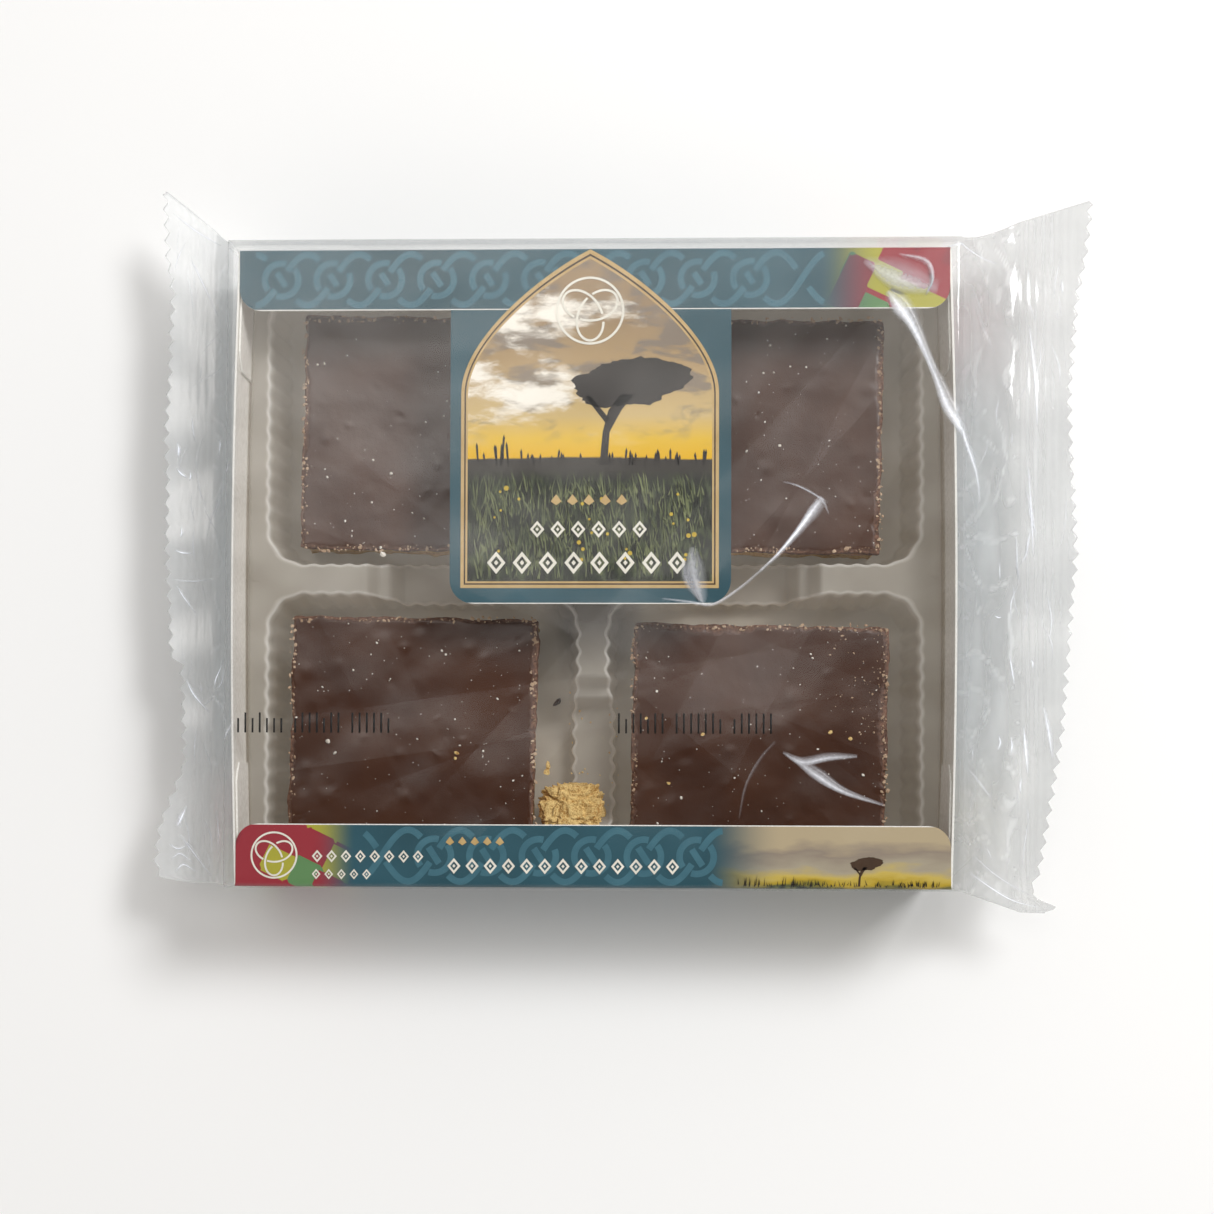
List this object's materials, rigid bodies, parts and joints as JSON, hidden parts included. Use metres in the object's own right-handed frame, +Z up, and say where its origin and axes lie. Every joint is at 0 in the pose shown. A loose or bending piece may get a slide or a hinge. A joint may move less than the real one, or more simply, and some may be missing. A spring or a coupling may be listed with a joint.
{
  "type": "caramel shortbread pack",
  "caption": "Caramel shortbread squares with milk chocolate tops in a fluted plastic tray and an open card carton, in a clear flow wrap.",
  "frame": {"origin": "on the underside of the wrap, below the middle of the carton", "axes": "+X along the carton's long side, +Y to the back wall with the arched tab, +Z up"},
  "size_m": [0.2238, 0.173, 0.0374],
  "materials": {
    "clear_film": "clear glossy polypropylene film with creases",
    "printed_card": "printed and varnished, white inside",
    "tray_plastic": "thermoformed, translucent, satin",
    "milk_chocolate": "set milk chocolate, satin",
    "caramel": "soft caramel, satin",
    "shortbread": "baked crumb, matt"
  },
  "bodies": {
    "root": {"film_wrap": "clear_film", "carton": "printed_card", "inner_tray": "tray_plastic", "biscuit_back_left": "shortbread", "caramel_back_left": "caramel", "chocolate_back_left": "milk_chocolate", "biscuit_back_right": "shortbread", "caramel_back_right": "caramel", "chocolate_back_right": "milk_chocolate", "biscuit_front_left": "shortbread", "caramel_front_left": "caramel", "chocolate_front_left": "milk_chocolate", "biscuit_front_right": "shortbread", "caramel_front_right": "caramel", "chocolate_front_right": "milk_chocolate", "biscuit_crumb": "shortbread"}
  },
  "joints": []
}
